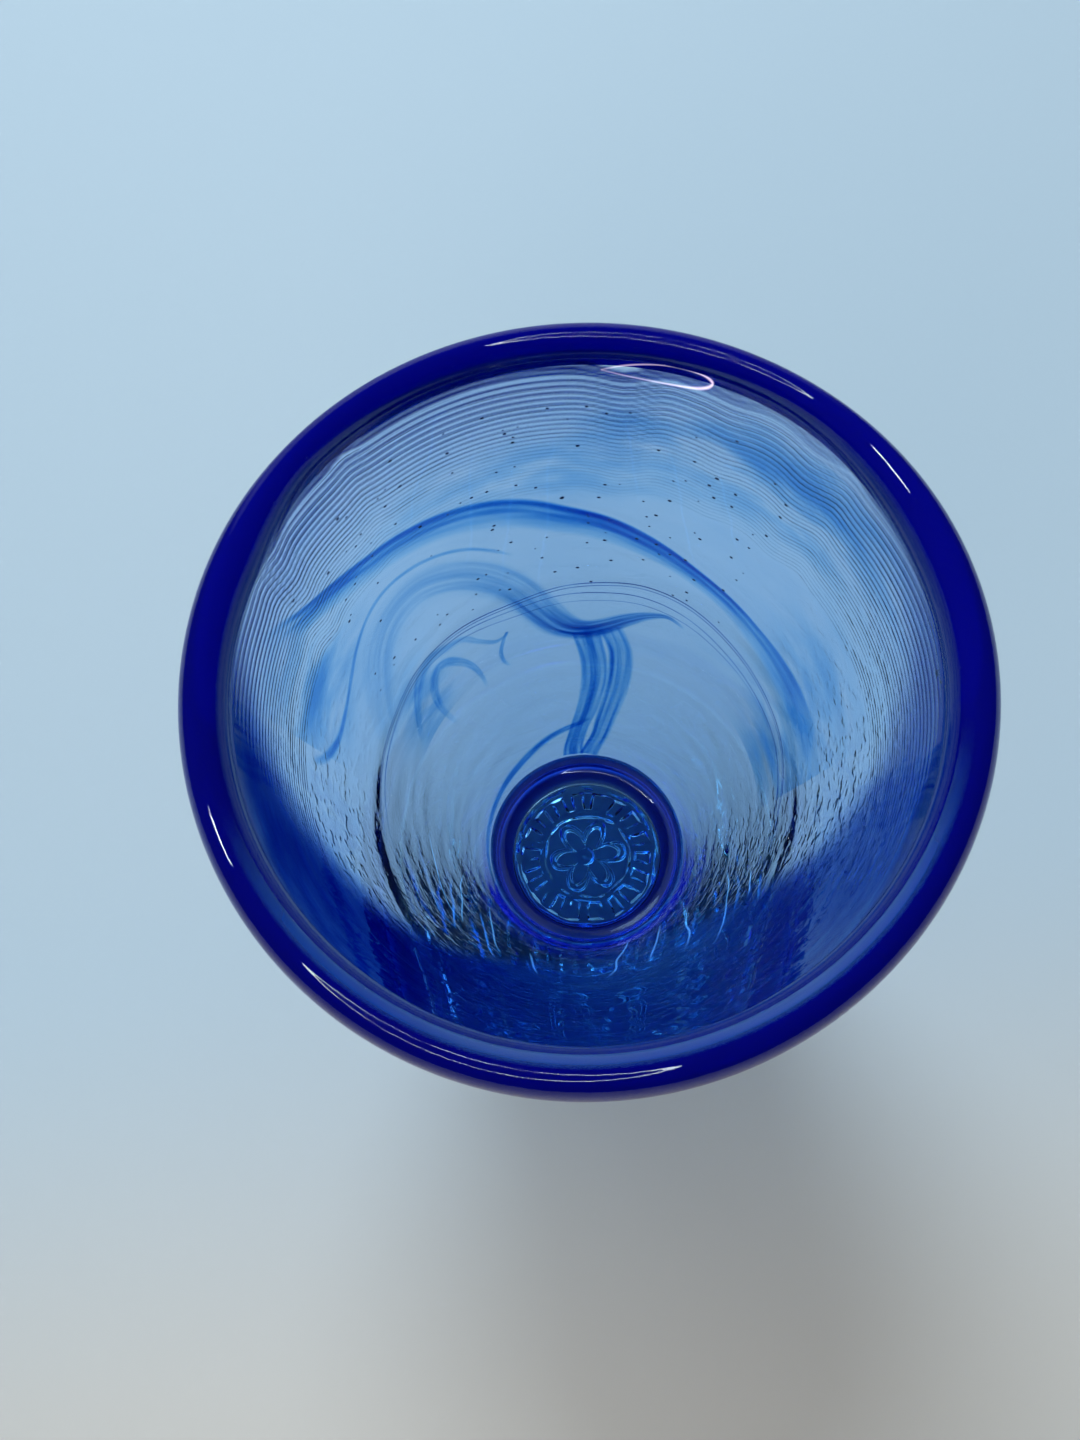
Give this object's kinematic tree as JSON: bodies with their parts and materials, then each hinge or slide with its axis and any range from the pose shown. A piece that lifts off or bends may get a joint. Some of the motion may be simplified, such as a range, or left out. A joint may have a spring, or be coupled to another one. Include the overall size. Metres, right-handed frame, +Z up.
{
  "type": "glass tumbler",
  "caption": "Hand-blown flared glass tumbler in clear pale blue, with a rounded cobalt lip, cobalt trails in the wall, an outer gather round its lower half and a thick round foot.",
  "frame": {"origin": "on the table, under the centre of the foot", "axes": "+Z up along the tumbler's axis, out of its mouth; -Y towards the viewer of the picture"},
  "size_m": [0.1001, 0.0996, 0.136],
  "materials": {
    "clear_blue_glass": "fire-polished, pale blue, slightly rippled",
    "cobalt_glass": "fire-polished, deep cobalt",
    "trail_glass": "smoky cobalt inside the clear glass",
    "seal_glass": "pressed relief"
  },
  "bodies": {
    "root": {"bowl_wall": "clear_blue_glass", "lower_gather": "clear_blue_glass", "foot": "clear_blue_glass", "base_seal": "seal_glass", "lip_wrap": "cobalt_glass", "heel_ring": "cobalt_glass", "arc_trail": "trail_glass", "swirl_trail": "trail_glass", "stem_trail_left": "trail_glass", "stem_trail_right": "trail_glass", "root_trail": "trail_glass", "curl_trail": "trail_glass", "inner_curl_trail": "trail_glass", "hair_trail": "trail_glass", "side_trail": "trail_glass"}
  },
  "joints": []
}
